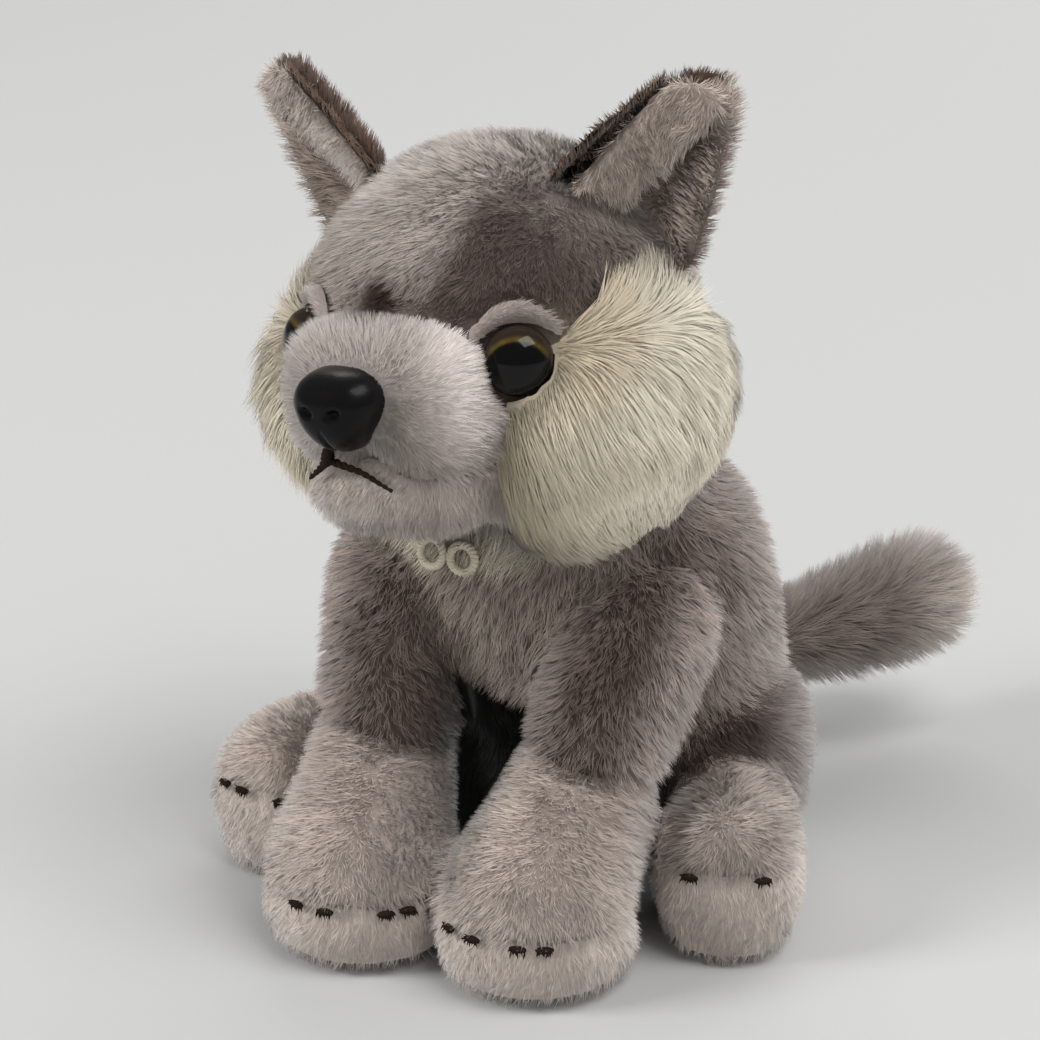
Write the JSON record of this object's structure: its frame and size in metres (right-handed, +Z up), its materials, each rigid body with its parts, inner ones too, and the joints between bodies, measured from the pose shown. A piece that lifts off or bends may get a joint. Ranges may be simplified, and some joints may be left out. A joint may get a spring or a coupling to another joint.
{
  "type": "plush wolf",
  "caption": "Small sitting plush wolf with upright ears, cream cheek ruffs, moulded eyes and nose, stitched claws and a bushy tail.",
  "frame": {"origin": "on the flat seat of the torso, on the floor plane, under the middle of the body", "axes": "+Z up; the body faces -Y; the wolf's left side is +X"},
  "size_m": [0.1264, 0.1708, 0.1649],
  "materials": {
    "fur_body": "mid-length grey-brown pile",
    "fur_crown": "short grey-taupe pile",
    "fur_muzzle": "short pinkish grey pile",
    "fur_cheek": "long silky cream pile",
    "fur_brow": "smooth mauve-grey pile",
    "fur_lining": "short taupe pile",
    "fur_dark": "short dark brown pile",
    "fur_paw": "short pinkish grey pile",
    "gloss_black": "moulded gloss black plastic",
    "nylon": "plain moulded nylon",
    "thread_brown": "dark brown embroidery thread",
    "cord_white": "off-white plaited cord"
  },
  "bodies": {
    "root": {"torso": "fur_body", "front_leg_left": "fur_body", "front_leg_right": "fur_body", "thigh_left": "fur_body", "thigh_right": "fur_body", "tail": "fur_body", "ear_back_left": "fur_body", "ear_back_right": "fur_body", "head": "fur_crown", "muzzle": "fur_muzzle", "chin": "fur_muzzle", "cheek_left": "fur_cheek", "cheek_right": "fur_cheek", "brow_left": "fur_brow", "brow_right": "fur_brow", "ear_lining_left": "fur_lining", "ear_lining_right": "fur_lining", "ear_edge_left": "fur_dark", "ear_edge_right": "fur_dark", "front_paw_left": "fur_paw", "front_paw_right": "fur_paw", "front_sole_left": "fur_paw", "front_sole_right": "fur_paw", "hind_foot_left": "fur_paw", "hind_foot_right": "fur_paw", "hind_sole_left": "fur_paw", "hind_sole_right": "fur_paw", "eye_left": "gloss_black", "eye_right": "gloss_black", "nose": "gloss_black", "eye_washer_left": "nylon", "eye_washer_right": "nylon", "nose_washer": "nylon", "mouth_line": "thread_brown", "lip_stitch": "thread_brown", "claw_front_left_1": "thread_brown", "claw_front_left_2": "thread_brown", "claw_front_left_3": "thread_brown", "claw_front_left_4": "thread_brown", "claw_front_right_1": "thread_brown", "claw_front_right_2": "thread_brown", "claw_front_right_3": "thread_brown", "claw_front_right_4": "thread_brown", "claw_hind_left_1": "thread_brown", "claw_hind_left_2": "thread_brown", "claw_hind_right_1": "thread_brown", "claw_hind_right_2": "thread_brown", "claw_hind_right_3": "thread_brown", "hang_loop_left": "cord_white", "hang_loop_right": "cord_white"}
  },
  "joints": []
}
